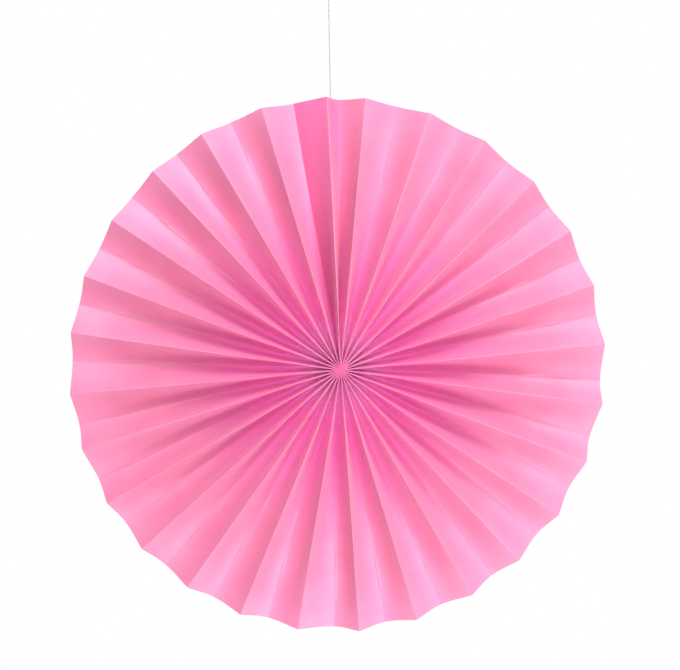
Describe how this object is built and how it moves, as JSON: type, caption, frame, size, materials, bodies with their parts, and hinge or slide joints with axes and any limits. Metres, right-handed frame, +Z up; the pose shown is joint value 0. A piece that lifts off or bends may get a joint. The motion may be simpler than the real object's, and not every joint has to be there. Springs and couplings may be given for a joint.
{
  "type": "paper fan rosette",
  "caption": "Round pleated paper fan rosette that hangs by a thread from a knotted loop.",
  "frame": {"origin": "middle of the hub, halfway between the front and back folds", "axes": "+Z up, towards the hanging loop; the front of the disc faces -Y; +X to the right as seen from the front"},
  "size_m": [0.4, 0.0254, 0.4976],
  "materials": {
    "pink_paper": "matt dyed paper",
    "seam_tape": "double-sided tissue tape",
    "tie_thread": "twisted thread",
    "clear_tape": "clear tape",
    "hanging_thread": "twisted thread"
  },
  "bodies": {
    "root": {"pleated_paper": "pink_paper", "seam_tape": "seam_tape", "hub_thread": "tie_thread", "thread_tab": "clear_tape", "hanging_thread": "hanging_thread", "knotted_loop": "hanging_thread"}
  },
  "joints": []
}
